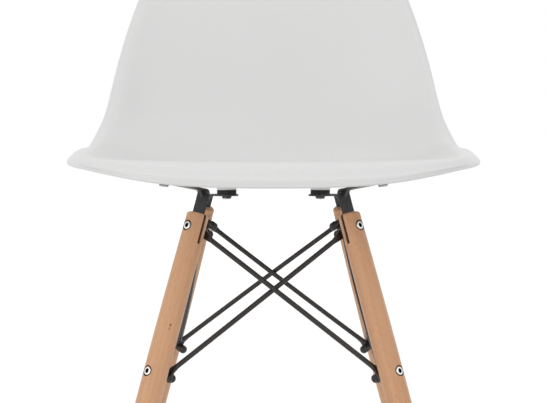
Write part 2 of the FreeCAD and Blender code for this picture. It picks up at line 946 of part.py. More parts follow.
nut = new_body("dome_nut")
nut_plate = nut.newObject("PartDesign::Pad", "dome_nut_hexagon")
nut_plate.Profile = hexagon(sketch_on(nut, "dome_nut_flats", "XY_Plane"), "sizes.nut_across_flats")
nut_plate.setExpression("Length", "sizes.nut_hex_height")
dome = [
    ("0", "sizes.nut_hex_height / 2"),
    ("sizes.dome_radius", "sizes.nut_hex_height / 2"),
    ("sizes.dome_radius", "sizes.nut_hex_height"),
    ("0", "sizes.nut_hex_height + sizes.dome_radius"),
]
turned(nut, dome, {2: "sizes.dome_radius"})
thread = sketch_on(nut, "dome_nut_thread", "XY_Plane")
cut(nut, round_hole(thread, bored("leg_bolt_diameter")), "Front", "sizes.bolt_in_nut + sizes.head_round")

bolt_places = []
nut_places = []
for corner in CORNERS:
    for level in LEVELS:
        down = size(f"{level}_bolt_down")
        inner = size(f"{level}_bolt_radius") + 2 * size("tab_thickness") + size("fit_gap")
        through_leg = Placement(Vector(0, 0, -down), INWARDS)
        behind_struts = Placement(Vector(-inner, 0, -down), INWARDS)
        bolt_places.append((bolts[level], leg_frame(corner) * through_leg))
        nut_places.append((nut, leg_frame(corner) * behind_struts))
set_of("leg_bolts", bolt_places)
set_of("dome_nuts", nut_places)

# Struts of bent rod. Two cross in each side of the base. Their ends are flattened, drilled and bent
# along the leg, and each bolt holds one end of the outer struts, next to the wood, under one end of
# the inner struts.

LAYERS = {"outer": 0, "inner": 1}
SIDES = {
    "front": ("front_left", "front_right"),
    "right": ("front_right", "rear_right"),
    "rear": ("rear_right", "rear_left"),
    "left": ("rear_left", "front_left"),
}
ROUND, FLAT = 2.0, 5.0
SECTION_POINTS = 16
NECK_STEPS = 5


def flattened(centre, along, facing, wide, thick, power):
    """A cross-section of a strut's flattened end: round on a power of 2, and squarer on a higher
    one."""
    side = along.cross(facing).normalize()
    face = side.cross(along).normalize()
    points = []
    for step in range(SECTION_POINTS):
        turn = math.radians(FULL_TURN * step / SECTION_POINTS)
        across, through = (
            math.copysign(abs(part) ** (2 / power), part)
            for part in (math.cos(turn), math.sin(turn))
        )
        points.append(centre + side * across * wide / 2 + face * through * thick / 2)
    curve = Part.BSplineCurve()
    curve.interpolate(points, PeriodicFlag=True)
    return Part.Wire(curve.toShape())


def between(one, other, share):
    return one + (other - one) * share


def bolt_seat(corner, level, layer):
    """Where a strut's flat end sits on a bolt: its origin is in the middle of the flat end's
    thickness, and z runs inwards along the bolt."""
    in_stack = size("fit_gap") + (LAYERS[layer] + 0.5) * size("tab_thickness")
    depth = size(f"{level}_bolt_radius") + in_stack
    place = Placement(Vector(-depth, 0, -size(f"{level}_bolt_down")), INWARDS)
    return leg_frame(corner) * place


class StrutEnd:
    """One flattened end. It points at the other end as nearly as it can while it lies flat, and the
    round rod leaves it at a bend."""

    def __init__(self, seat, other_seat):
        self.inward = seat.Rotation.multVec(UP)
        towards = other_seat.Base - seat.Base
        self.along = (towards - self.inward * towards.dot(self.inward)).normalize()
        self.frame = Placement(seat.Base, Rotation(self.along, Vector(), self.inward, "ZXY"))
        proud = (size("rod_diameter") - size("tab_thickness")) / 2
        reach = size("tab_length") + size("neck_length")
        self.start = self.frame.multVec(Vector(size("tab_length"), 0, 0))
        self.corner = self.frame.multVec(Vector(reach, 0, proud))

    def tab(self):
        """The flat end, with its round tip and its bolt hole."""
        wide, thick = size("tab_width"), size("tab_thickness")
        low = Vector(0, 0, -thick / 2)
        plate = Part.makeBox(size("tab_length"), wide, thick, low - Vector(0, wide / 2, 0))
        plate = plate.fuse(Part.makeCylinder(wide / 2, thick, low))
        hole = size("leg_bolt_diameter") / 2 + size("fit_gap")
        plate = plate.cut(Part.makeCylinder(hole, thick, low)).removeSplitter()
        plate.Placement = self.frame
        return plate

    def rod_start(self, other_corner):
        return self.corner + (other_corner - self.corner).normalize() * size("neck_length")

    def neck(self, rod_start, rod_direction):
        """The bend between the flat end and the round rod."""
        rod = size("rod_diameter")
        sections = []
        for step in range(NECK_STEPS):
            share = step / NECK_STEPS
            one = between(self.start, self.corner, share)
            other = between(self.corner, rod_start, share)
            direction = other - one if step else self.along
            wide = between(size("tab_width"), rod, share)
            thick = between(size("tab_thickness"), rod, share)
            power = between(FLAT, ROUND, share)
            place = between(one, other, share)
            sections.append(flattened(place, direction, self.inward, wide, thick, power))
        last = Part.Circle(rod_start, rod_direction, rod / 2)
        last.XAxis = rod_direction.cross(self.inward).normalize()
        sections.append(Part.Wire(last.toShape()))
        return faces_outwards(Part.makeLoft(sections, True))


def strut(name, first, last, bow):
    """A strut from one flat end to the other, its rod bowed a little to one side."""
    start, end = first.rod_start(last.corner), last.rod_start(first.corner)
    if bow.Length > CLOSE:
        line = Part.Arc(start, (start + end) / 2 + bow, end).toShape()
    else:
        line = Part.makeLine(start, end)
    leaving, arriving = (line.tangentAt(at) for at in (line.FirstParameter, line.LastParameter))
    across = Part.Wire(Part.Circle(start, leaving, size("rod_diameter") / 2).toShape())
    rod = Part.Wire(line).makePipeShell([across], True, True)
    pieces = [first.tab(), first.neck(start, leaving), last.tab(), last.neck(end, -arriving)]
    part = doc.addObject("Part::Feature", name)
    part.Label = name
    part.Shape = faces_outwards(rod).multiFuse(pieces).removeSplitter()
    settle(part, Placement())


def crossing(side):
    """The two struts of one side of the base, bowed apart just enough to pass each other."""
    one, other = SIDES[side]
    ends = {}
    for layer, high, low in (("outer", one, other), ("inner", other, one)):
        top, foot = bolt_seat(high, "upper", layer), bolt_seat(low, "lower", layer)
        ends[layer] = StrutEnd(top, foot), StrutEnd(foot, top)
    lines = [Part.makeLine(pair[0].corner, pair[1].corner) for pair in ends.values()]
    apart, nearest, _ = lines[0].distToShape(lines[1])
    way = (nearest[0][0] - nearest[0][1]).normalize()
    short = max(size("rod_diameter") + size("crossing_gap") - apart, 0)
    for layer, line, place, sign in zip(LAYERS, lines, nearest[0], (1, -1)):
        share = (place - ends[layer][0].corner).Length / line.Length
        bow = way * sign * short / 2 / (4 * share * (1 - share))
        strut(f"strut_{side}_{layer}", *ends[layer], bow)


for side in SIDES:
    crossing(side)

# Floor glides and the nails that hold them

nail = new_body("glide_nail")
nail_radius, head_radius = "sizes.nail_diameter / 2", "sizes.nail_head_diameter / 2"
nail_head_low = "sizes.nail_recess - sizes.nail_head_height"
turned(
    nail,
    [
        ("0", nail_head_low),
        (head_radius, nail_head_low),
        (head_radius, "sizes.nail_recess"),
        (nail_radius, "sizes.nail_recess"),
        (nail_radius, "sizes.glide_height + sizes.nail_in_leg - sizes.nail_diameter"),
        ("0", "sizes.glide_height + sizes.nail_in_leg"),
    ],
)

feet = []
for corner in CORNERS:
    glide = new_body(f"glide_{corner}")
    recess = f"{head_radius} + sizes.fit_gap"
    turned(
        glide,
        [
            (recess, "0"),
            ("sizes.glide_radius - sizes.glide_chamfer", "0"),
            ("sizes.glide_radius", "sizes.glide_chamfer"),
            ("sizes.glide_radius", "sizes.glide_height"),
            (nail_radius, "sizes.glide_height"),
            (nail_radius, "sizes.nail_recess"),
            (recess, "sizes.nail_recess"),
        ],
    )
    foot = leg_frame(corner).multVec(Vector(0, 0, -leg_length))
    foot.z = 0
    feet.append((nail, Placement(foot, Rotation())))
    settle(glide, Placement(foot, Rotation()))
set_of("glide_nails", feet)

# What is written out

SUB_PARTS = (
    ["shell", "shell_inserts", "shell_washers", "shell_screws", "leg_bolts", "dome_nuts", "glide_nails"]
    + [f"{kind}_{corner}" for kind in ("pad", "bracket", "leg", "glide") for corner in CORNERS]
    + [f"strut_{side}_{layer}" for side in SIDES for layer in LAYERS]
)

doc.recompute()
for item in doc.Objects:
    if "Invalid" in item.State or "Error" in item.State:
        raise RuntimeError(f"{item.Label} failed: {item.State}")
    if item.TypeId == "PartDesign::Pocket" and item.Shape.Volume >= item.BaseFeature.Shape.Volume:
        raise RuntimeError(f"{item.Label} cuts nothing")

os.makedirs("parts", exist_ok=True)
finished = []
for name in SUB_PARTS:
    part = doc.getObjectsByLabel(name)[0]
    if part.Shape.isNull() or not part.Shape.isValid() or not part.Shape.Solids:
        raise RuntimeError(f"{name} has no valid solid")
    if min(solid.Volume for solid in part.Shape.Solids) < SLIVER:
        raise RuntimeError(f"{name} has a sliver")
    finished.append((name, part))
for name, part in finished:
    part.Shape.exportStep(f"parts/{name}.step")
    box = part.Shape.BoundBox
    heights = f"z {box.ZMin:.1f} to {box.ZMax:.1f}"
    print(f"{name}: {len(part.Shape.Solids)} solids, {part.Shape.Volume:.0f} mm3, {heights}")
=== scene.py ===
import math

import bmesh
import bpy
from mathutils import Matrix, Vector


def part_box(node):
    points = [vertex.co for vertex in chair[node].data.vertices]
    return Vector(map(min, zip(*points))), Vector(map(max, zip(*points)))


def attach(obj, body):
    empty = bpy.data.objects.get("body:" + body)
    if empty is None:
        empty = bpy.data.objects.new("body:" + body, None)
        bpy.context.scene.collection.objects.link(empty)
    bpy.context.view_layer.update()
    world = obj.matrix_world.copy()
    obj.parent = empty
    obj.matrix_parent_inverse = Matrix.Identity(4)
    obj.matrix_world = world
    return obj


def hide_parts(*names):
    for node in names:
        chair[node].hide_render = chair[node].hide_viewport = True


# A side chair: a white moulded plastic shell on four round beech legs, held by bent steel brackets
# and braced by eight crossing struts of black rod. Up is +Z, and the front of the chair faces -Y.
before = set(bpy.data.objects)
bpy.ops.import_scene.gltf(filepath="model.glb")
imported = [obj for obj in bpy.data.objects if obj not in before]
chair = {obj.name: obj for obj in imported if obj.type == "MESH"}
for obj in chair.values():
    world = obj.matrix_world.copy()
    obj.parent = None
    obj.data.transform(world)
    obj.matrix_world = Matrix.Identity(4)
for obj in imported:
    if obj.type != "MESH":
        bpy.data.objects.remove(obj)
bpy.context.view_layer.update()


# Camera. It stands in front of the chair, a little over the seat's height, and looks slightly down,
# so that the seat is seen almost edge-on and the floor runs out of sight behind the legs.
LENS_MM = 96.88
SENSOR_MM = 36.0
CAMERA_DISTANCE = 1.79
CAMERA_HEIGHT = 0.49
LOOKING_DOWN = math.radians(3.0)
SIGHT_REACH = 60.0

camera = bpy.data.cameras.new("camera")
camera.lens = LENS_MM
camera.sensor_width = SENSOR_MM
camera.sensor_fit = "HORIZONTAL"
camera.clip_end = SIGHT_REACH
viewpoint = bpy.data.objects.new("camera", camera)
viewpoint.location = (0, -CAMERA_DISTANCE, CAMERA_HEIGHT)
viewpoint.rotation_euler = (math.radians(90) - LOOKING_DOWN, 0, 0)
bpy.context.scene.collection.objects.link(viewpoint)
bpy.context.scene.camera = viewpoint


# Shell. One piece of white polypropylene, injection moulded in a polished and finely grained tool,
# with a rolled edge all round. The melt's flow leaves it very slightly cloudy.
class Value:
    """What one socket of a finish gives out, with the sums that are done on it."""

    def __init__(self, finish, socket):
        self.finish = finish
        self.socket = socket

    def sum(self, operation, one, other):
        return self.finish.node("Math", {"operation": operation}, {0: one, 1: other})

    def __add__(self, other):
        return self.sum("ADD", self, other)

    def __radd__(self, other):
        return self.sum("ADD", other, self)

    def __sub__(self, other):
        return self.sum("SUBTRACT", self, other)

    def __rsub__(self, other):
        return self.sum("SUBTRACT", other, self)

    def __mul__(self, other):
        return self.sum("MULTIPLY", self, other)

    def __rmul__(self, other):
        return self.sum("MULTIPLY", other, self)


class Finish:
    """A surface finish: a shader whose varying inputs are worked out node by node."""

    # The sockets of a Mix node for its two colours, and for the colour that it gives out.
    COLOUR_A, COLOUR_B, MIXED_COLOUR = 6, 7, 2

    def __init__(self, name, **constant):
        self.material = bpy.data.materials.new(name)
        self.material.use_nodes = True
        self.tree = self.material.node_tree
        self.shader = self.tree.nodes["Principled BSDF"]
        for socket, value in constant.items():
            self.shader.inputs[socket.replace("_", " ")].default_value = value

    def node(self, kind, settings, inputs, output=0):
        """Adds one node: its settings first, and then the values or links of its sockets."""
        new = self.tree.nodes.new("ShaderNode" + kind)
        for setting, value in settings.items():
            setattr(new, setting, value)
        for socket, value in inputs.items():
            self.join(new.inputs[socket], value)
        return Value(self, new.outputs[output])

    def join(self, socket, value):
        """Links a worked out value to a socket, or sets a plain one on it."""
        if isinstance(value, Value):
            self.tree.links.new(value.socket, socket)
        else:
            socket.default_value = value

    def shade(self, socket, value):
        """Gives one input of the shader its value."""
        self.join(self.shader.inputs[socket], value)

    def place(self):
        """Where a point of the surface lies in the chair."""
        return self.node("TexCoord", {}, {}, "Object")

    def noise(self, place, per_metre, detail=2.0, roughness=0.5):
        """Cloudy variation from 0 to 1, with that many clouds to the metre."""
        inputs = {"Vector": place, "Scale": per_metre, "Detail": detail, "Roughness": roughness}
        return self.node("TexNoise", {}, inputs)

    def mixed(self, share, one, other):
        """One colour where share is 0, and the other where it is 1."""
        inputs = {"Factor": share, self.COLOUR_A: one, self.COLOUR_B: other}
        return self.node("Mix", {"data_type": "RGBA"}, inputs, self.MIXED_COLOUR)

    def stepped(self, value, low, high):
        """0 up to low, 1 from high on, and a smooth rise between them."""
        settings = {"interpolation_type": "SMOOTHSTEP"}
        return self.node("MapRange", settings, {"Value": value, "From Min": low, "From Max": high})

    def relief(self, height, metres):
        """Fine relief on the smooth surface, that many metres high where height is 1."""
        self.shade("Normal", self.node("Bump", {}, {"Height": height, "Distance": metres}))

    def put_on(self, *names):
        """Gives the finish to the built pieces of those names."""
        for name in names:
            chair[name].material_slots[0].material = self.material


def colour(red, green, blue):
    return (red, green, blue, 1.0)


def moulded_plastic():
    finish = Finish("moulded_plastic", IOR=1.49)
    place = finish.place()
    flow = finish.noise(place, per_metre=7.0, detail=3.0)
    grain = finish.noise(place, per_metre=2400.0, detail=2.0)
    greyer, whiter = colour(0.77, 0.765, 0.762), colour(0.79, 0.786, 0.783)
    finish.shade("Base Color", finish.mixed(flow, greyer, whiter))
    finish.shade("Roughness", 0.34 + 0.1 * flow + 0.05 * grain)
    finish.relief(grain, metres=0.00002)
    return finish


moulded_plastic().put_on("shell")


# Threaded inserts. Brass bushes, knurled outside and tapped inside, that are moulded into the
# bosses under the seat.
def turned_brass():
    finish = Finish("turned_brass", Metallic=1.0)
    wear = finish.noise(finish.place(), per_metre=400.0, detail=4.0)
    tarnished, rubbed = colour(0.62, 0.45, 0.2), colour(0.75, 0.6, 0.32)
    finish.shade("Base Color", finish.mixed(wear, tarnished, rubbed))
    finish.shade("Roughness", 0.25 + 0.25 * wear)
    return finish


turned_brass().put_on("shell_inserts")


# Mounting pads. Black rubber bushes with two fine grooves round the side, squeezed between each
# boss and its steel flange.
CORNERS = ("front_left", "front_right", "rear_right", "rear_left")


def black_rubber():
    finish = Finish("black_rubber", IOR=1.5)
    place = finish.place()
    bloom = finish.noise(place, per_metre=160.0, detail=4.0)
    grain = finish.noise(place, per_metre=3000.0, detail=2.0)
    clean, bloomed = colour(0.017, 0.017, 0.017), colour(0.03, 0.03, 0.03)
    finish.shade("Base Color", finish.mixed(bloom, clean, bloomed))
    finish.shade("Roughness", 0.62 + 0.2 * bloom)
    finish.relief(grain, metres=0.00004)
    return finish


black_rubber().put_on(*(f"pad_{corner}" for corner in CORNERS))


# Steel brackets. Flat bar, sawn, bent and drilled, with its sharp edges broken before it is powder
# coated in satin black. The coating has the faint orange peel of baked powder.
MERGED = 0.000002
FLAT = math.radians(0.02)
SHARP = math.radians(30)
EASE_SEGMENTS = 2
BRACKET_EASE = 0.0004


def round_edges(solid, edges, ease):
    """Rounds those edges that much, and shades every face smoothly."""
    bmesh.ops.bevel(
        solid,
        geom=edges,
        offset=ease,
        segments=EASE_SEGMENTS,
        profile=0.5,
        affect="EDGES",
        material=-1,
        clamp_overlap=False,
    )
    for face in solid.faces:
        face.smooth = True


def stand_in(name, mesh, finishes, node):
    """A new piece with that mesh, which stands for the built node."""
    for finish in finishes:
        mesh.materials.append(finish.material)
    piece = bpy.data.objects.new(name, mesh)
    bpy.context.scene.collection.objects.link(piece)
    piece.modifiers.new("even_shading", "WEIGHTED_NORMAL")
    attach(piece, "root")
    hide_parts(node)
    return piece


def eased(node, ease, finish):
    """The built piece again, with its sharp edges rounded that much."""
    solid = bmesh.new()
    solid.from_mesh(chair[node].data)
    bmesh.ops.remove_doubles(solid, verts=solid.verts, dist=MERGED)
    bmesh.ops.dissolve_limit(solid, angle_limit=FLAT, verts=solid.verts, edges=solid.edges)
    sharp = [edge for edge in solid.edges if edge.is_manifold and edge.calc_face_angle() > SHARP]
    round_edges(solid, sharp, ease)
    for edge in solid.edges:
        edge.smooth = True
    name = f"eased_{node}"
    mesh = bpy.data.meshes.new(name)
    solid.to_mesh(mesh)
    solid.free()
    if "custom_normal" in mesh.attributes:
        mesh.attributes.remove(mesh.attributes["custom_normal"])
    stand_in(name, mesh, (finish,), node)


def black_powder_coat(name, thin, thick, peels_per_metre):
    finish = Finish(name, IOR=1.45)
    place = finish.place()
    peel = finish.noise(place, peels_per_metre, detail=1.0)
    cloud = finish.noise(place, per_metre=60.0, detail=3.0)
    finish.shade("Base Color", finish.mixed(cloud, thin, thick))
    finish.shade("Roughness", 0.32 + 0.12 * cloud)
    finish.relief(peel, metres=0.00002)
    return finish


bracket_coat = black_powder_coat(
    "bracket_coat",
    thin=colour(0.024, 0.025, 0.025),
    thick=colour(0.034, 0.035, 0.035),
    peels_per_metre=900.0,
)
for corner in CORNERS:
    eased(f"bracket_{corner}", BRACKET_EASE, bracket_coat)


# Screws and washers under the flanges. Each screw is plated steel with a low round head, and holds
# its flange and pad to an insert over a black washer.
FASTENER_EASE = 0.00025


def zinc_plate(name, dull, bright):
    finish = Finish(name, Metallic=1.0)
    cloud = finish.noise(finish.place(), per_metre=500.0, detail=3.0)
    finish.shade("Base Color", finish.mixed(cloud, dull, bright))
    finish.shade("Roughness", 0.22 + 0.16 * cloud)
    return finish


grey_zinc = zinc_plate("grey_zinc", dull=colour(0.3, 0.3, 0.295), bright=colour(0.43, 0.43, 0.42))
eased("shell_screws", FASTENER_EASE, grey_zinc)
eased("shell_washers", FASTENER_EASE, bracket_coat)


# Legs. Turned from light beech and lacquered. The grain runs along each leg, with growth rings
# across it, and the wood is full of the short dark flecks that beech is known by. The front left
# leg has two small pits on its inner side.
LEG_LEAN = math.radians(20.2)
LEG_DIAGONALS = {"front_left": 225, "front_right": 315, "rear_right": 45, "rear_left": 135}
# How much darker each leg's wood is painted, as painted light and shade: the front left and both rear
# legs lighter, the front right darker.
LEG_PAINTED_LIGHT_AND_SHADE = {"front_left": -0.18, "front_right": 0.14, "rear_right": -0.4, "rear_left": -0.36}
LEG_EASE = 0.0003
BEECH = {
    "pale": colour(0.785, 0.45, 0.252),
    "pale_tan": colour(0.7, 0.378, 0.196),
    "dark": colour(0.615, 0.315, 0.157),
    "dark_tan": colour(0.55, 0.265, 0.126),
    "fibre": colour(0.5, 0.25, 0.13),
    "fleck": colour(0.3, 0.13, 0.06),
    "pit": colour(0.1, 0.03, 0.008),
    "painted_shade": colour(0.09, 0.035, 0.016),
}
PITH_AWAY, PITH_ASIDE = 0.07, -0.028
RING_STRETCH = 12
FIBRE_SQUEEZE = 0.06
FLECK_SQUEEZE = 0.16
PITS = {
    "front_left": (
        {"place": (0.00803, 0.01161, 0.2791), "darkness": 0.9},
        {"place": (0.00834, 0.01141, 0.2749), "darkness": 0.55},
    ),
}
PIT_RADIUS = 0.00125
PIT_BOTTOM_RADIUS = 0.5 * PIT_RADIUS
PIT_STRETCH = 1.7
PIT_DEPTH = 3
SAW_CUT_HALF = 0.0014
SAW_CUT_BOTTOM = 0.3762
# Painted shade darkens the saw cut and the counterbores, and fades out this far beside them.
SHADE_BESIDE_CUT = 1.1 * SAW_CUT_HALF
SHADE_UNDER_CUT = SAW_CUT_BOTTOM - 0.0005
BOLT_HEIGHTS = {"upper": 0.39373, "lower": 0.22413}
COUNTERBORE_RADIUS = 0.00632
SHADE_ROUND_BORE = 1.02 * COUNTERBORE_RADIUS
OUTER_SIDE = 0.001


def leg_foot(corner):
    """The middle of the leg's foot, where the leg's own frame starts."""
    low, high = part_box(f"glide_{corner}")
    return (low + high) / 2


def drawn_out(finish, along_leg, squeeze):
    """Places in the leg, squeezed so that a pattern on them comes out longer along the grain."""
    return finish.node("Mapping", {}, {"Vector": along_leg, "Scale": (1, 1, squeeze)})


def scaled(finish, along_leg, scale):
    inputs = {0: along_leg, 1: scale}
    return finish.node("VectorMath", {"operation": "MULTIPLY"}, inputs, "Vector")


def distance(finish, place, point):
    return finish.node("VectorMath", {"operation": "DISTANCE"}, {0: place, 1: point}, "Value")


def painted_recess_shade(finish, along_leg):
    """1 in the saw cut and the counterbores, which are painted dark as painted shade, 0 elsewhere."""
    across = finish.node("SeparateXYZ", {}, {"Vector": along_leg}, "X")
    up = finish.node("SeparateXYZ", {}, {"Vector": along_leg}, "Z")
    aside = finish.node("Math", {"operation": "ABSOLUTE"}, {0: across})
    beside_cut = finish.stepped(aside, SAW_CUT_HALF, SHADE_BESIDE_CUT)
    worked = (1 - beside_cut) * finish.stepped(up, SHADE_UNDER_CUT, SAW_CUT_BOTTOM)
    outer_side = finish.stepped(across, 0.0, OUTER_SIDE)
    level = scaled(finish, along_leg, (0, 1, 1))
    for height in BOLT_HEIGHTS.values():
        from_axis = distance(finish, level, (0, 0, height))
        beside_bore = finish.stepped(from_axis, COUNTERBORE_RADIUS, SHADE_ROUND_BORE)
        worked = worked + (1 - beside_bore) * outer_side
    return worked


def lacquered_beech(corner):
    finish = Finish(
        f"beech_{corner}",
        IOR=1.5,
        Coat_Roughness=0.25,
        Sheen_Weight=0.35,
        Sheen_Roughness=0.35,
        Sheen_Tint=colour(1.0, 0.92, 0.82),
    )
    turn = (0, -LEG_LEAN, math.radians(LEG_DIAGONALS[corner]))
    along_leg = finish.node(
        "Mapping",
        {"vector_type": "TEXTURE"},
        {"Vector": finish.place(), "Location": leg_foot(corner), "Rotation": turn},
    )
    pith = finish.node(
        "Mapping",
        {"vector_type": "TEXTURE"},
        {"Vector": along_leg, "Location": (PITH_AWAY, PITH_ASIDE, 0), "Scale": (1, 1, RING_STRETCH)},
    )
    wander = finish.noise(pith, per_metre=14.0, detail=2.0)
    rings = finish.node(
        "TexWave",
        {"wave_type": "RINGS", "rings_direction": "Z", "wave_profile": "SAW"},
        {"Vector": pith, "Scale": 55.0, "Distortion": 3.0, "Detail": 2.0, "Detail Scale": 0.6},
        "Fac",
    )
    fibre_place = drawn_out(finish, along_leg, FIBRE_SQUEEZE)
    fibre = finish.noise(fibre_place, per_metre=1500.0, detail=3.0, roughness=0.6)
    streak = finish.noise(fibre_place, per_metre=260.0, detail=2.0)
    fleck_place = drawn_out(finish, along_leg, FLECK_SQUEEZE)
    fleck = finish.stepped(finish.noise(fleck_place, per_metre=1150.0, detail=1.0), 0.62, 0.72)

    pale = finish.mixed(wander, BEECH["pale"], BEECH["pale_tan"])
    dark = finish.mixed(wander, BEECH["dark"], BEECH["dark_tan"])
    # Each leg's wood is shifted paler or darker here as painted light and shade.
    wood = finish.mixed(0.55 * streak + 0.25 * rings + LEG_PAINTED_LIGHT_AND_SHADE[corner], pale, dark)
    wood = finish.mixed(0.25 * fibre, wood, BEECH["fibre"])
    wood = finish.mixed(0.32 * fleck, wood, BEECH["fleck"])
    height = fibre - 0.5 * fleck
    shrunk = scaled(finish, along_leg, (1, 1, 1 / PIT_STRETCH))
    for pit in PITS.get(corner, ()):
        across, around, up = pit["place"]
        away = distance(finish, shrunk, (across, around, up / PIT_STRETCH))
        hollow = 1 - finish.stepped(away, PIT_BOTTOM_RADIUS, PIT_RADIUS)
        wood = finish.mixed(pit["darkness"] * hollow, wood, BEECH["pit"])
        height = height - PIT_DEPTH * hollow
    # Painted shade darkens the wood in the saw cut and the counterbores.
    wood = finish.mixed(0.85 * painted_recess_shade(finish, along_leg), wood, BEECH["painted_shade"])
    finish.shade("Base Color", wood)
    finish.shade("Roughness", 0.44 + 0.12 * fibre)
    finish.shade("Coat Weight", 0.12 + 0.1 * wander)
    finish.relief(height, metres=0.00003)
    return finish


for corner in CORNERS:
    eased(f"leg_{corner}", LEG_EASE, lacquered_beech(corner))


# Leg bolts. Bright zinc plated bolts with a low round head and a hexagon socket, sunk in a
# counterbore in the outer side of each leg. Their sockets are painted near black, for dirt and
# painted shade.
BOLT_HEAD_RADIUS = 0.005
BOLT_HEAD_HEIGHT = 0.0032
BOLT_HEAD_CROWN = ((0.78, 0.0), (0.93, 0.1), (1.0, 0.3), (1.0, 1.0))
BOLT_SHANK_RADIUS = 0.003
BOLT_POINT_RADIUS = 0.8 * BOLT_SHANK_RADIUS
BOLT_POINT_LENGTH = 0.001
BOLT_SOCKET_RADIUS = 0.00289
BOLT_SOCKET_DEPTH = 0.002
PAST_SOCKET = 1.1 * BOLT_SOCKET_DEPTH
BOLT_ENDS = {"upper": (0.01334, -0.02267), "lower": (0.01421, -0.02353)}
ROUND = 36
HEXAGON = 6
EDGE_EASE = 0.00015
bright_zinc = zinc_plate("bright_zinc", dull=colour(0.8, 0.785, 0.745), bright=colour(0.9, 0.885, 0.85))
# Near-black zinc inside each socket: dirt and painted shade.
socket_dirt_and_painted_shade = zinc_plate("socket_dirt_and_painted_shade", dull=colour(0.035, 0.04, 0.042), bright=colour(0.07, 0.08, 0.083))


def open_rim(solid):
    """The edges that have a face on one side only."""
    return [edge for edge in solid.edges if edge.is_boundary]


def forged(rings):
    """A solid through rings from one end to the other, each with its sides, radius and height."""
    solid = bmesh.new()
    bmesh.ops.create_circle(solid, segments=ROUND, radius=1, cap_ends=True)
    for number, (sides, radius, height) in enumerate(rings):
        if number > 0:
            bmesh.ops.extrude_edge_only(solid, edges=open_rim(solid))
        half_side = math.pi / sides
        for vert in {vert for edge in open_rim(solid) for vert in edge.verts}:
            turn = math.atan2(vert.co.y, vert.co.x)
            from_flat = turn % (2 * half_side) - half_side
            reach = radius * math.cos(half_side) / math.cos(from_flat)
            vert.co = (reach * math.cos(turn), reach * math.sin(turn), height)
    bmesh.ops.contextual_create(solid, geom=open_rim(solid))
    bmesh.ops.recalc_face_normals(solid, faces=solid.faces)
    return solid


def ease_edges(solid):
    """Rounds the sharp edges, apart from those inside a socket, which stay sharp."""
    rounded = []
    for edge in solid.edges:
        if edge.calc_face_angle() > SHARP:
            if all(face.material_index for face in edge.link_faces):
                edge.smooth = False
            else:
                rounded.append(edge)
    round_edges(solid, rounded, EDGE_EASE)


def leg_place(corner, across, up):
    """Where a fastener goes that lies across the leg and looks out of it, at that height."""
    diagonal = Matrix.Rotation(math.radians(LEG_DIAGONALS[corner]), 4, "Z")
    leg = Matrix.Translation(leg_foot(corner)) @ diagonal @ Matrix.Rotation(-LEG_LEAN, 4, "Y")
    return leg @ Matrix.Translation((across, 0, up)) @ Matrix.Rotation(math.radians(90), 4, "Y")


def placed_set(name, node, placed, finishes):
    """Copies of forged solids, each in its place, as one piece that stands for the built node."""
    whole = bmesh.new()
    for solid, place in placed:
        copy = bpy.data.meshes.new("copy")
        solid.to_mesh(copy)
        copy.transform(place)
        whole.from_mesh(copy)
        bpy.data.meshes.remove(copy)
    mesh = bpy.data.meshes.new(name)
    whole.to_mesh(mesh)
    whole.free()
    piece = stand_in(name, mesh, finishes, node)
    piece.modifiers["even_shading"].keep_sharp = True


def leg_bolt(length):
    """A bolt whose head looks up, with the middle of its face at the origin."""
    socket = [(HEXAGON, BOLT_SOCKET_RADIUS, -BOLT_SOCKET_DEPTH), (HEXAGON, BOLT_SOCKET_RADIUS, 0)]
    head = [
        (ROUND, radius_share * BOLT_HEAD_RADIUS, -height_share * BOLT_HEAD_HEIGHT)
        for radius_share, height_share in BOLT_HEAD_CROWN
    ]
    shank = [
        (ROUND, BOLT_SHANK_RADIUS, -BOLT_HEAD_HEIGHT),
        (ROUND, BOLT_SHANK_RADIUS, -length + BOLT_POINT_LENGTH),
        (ROUND, BOLT_POINT_RADIUS, -length),
    ]
    bolt = forged(socket + head + shank)
    # The faces inside the socket take the near-black zinc, for dirt and painted shade.
    for face in bolt.faces:
        middle = face.calc_center_median()
        near_axis = middle.xy.length < BOLT_SOCKET_RADIUS
        face.material_index = int(near_axis and -PAST_SOCKET < middle.z < -EDGE_EASE)
    ease_edges(bolt)
    return bolt


placed_bolts = []
for level, (head, tip) in BOLT_ENDS.items():
    bolt = leg_bolt(head - tip)
    for corner in CORNERS:
        placed_bolts.append((bolt, leg_place(corner, head, BOLT_HEIGHTS[level])))
placed_set("socket_bolts", "leg_bolts", placed_bolts, (bright_zinc, socket_dirt_and_painted_shade))


# Dome nuts. Forged cap nuts, black like the struts, on the inner ends of the leg bolts: a
# chamfered hexagon, a narrow neck and a dome over the end of the thread.
NUT_CORNER_RADIUS = 0.00577
NUT_FACE_RADIUS = 0.85 * NUT_CORNER_RADIUS
NUT_HEXAGON_HEIGHT = 0.0042
NUT_CHAMFER = 0.16 * NUT_HEXAGON_HEIGHT
NUT_BORE_RADIUS = 0.00315
NUT_BORE_DEPTH = 0.0055
NUT_NECK_RADIUS = 0.0045
NUT_NECK_HEIGHT = 0.0006
DOME_RADIUS = 0.0051
DOME_FLARE = 0.0003
DOME_HEIGHT = 0.0046
DOME_STEPS = 12
NUT_BASES = {"upper": -0.01817, "lower": -0.01903}
INWARD = Matrix.Rotation(math.radians(180), 4, "Y")
rod_coat = black_powder_coat(
    "rod_coat",
    thin=colour(0.021, 0.0165, 0.0145),
    thick=colour(0.03, 0.025, 0.0225),
    peels_per_metre=1500.0,
)


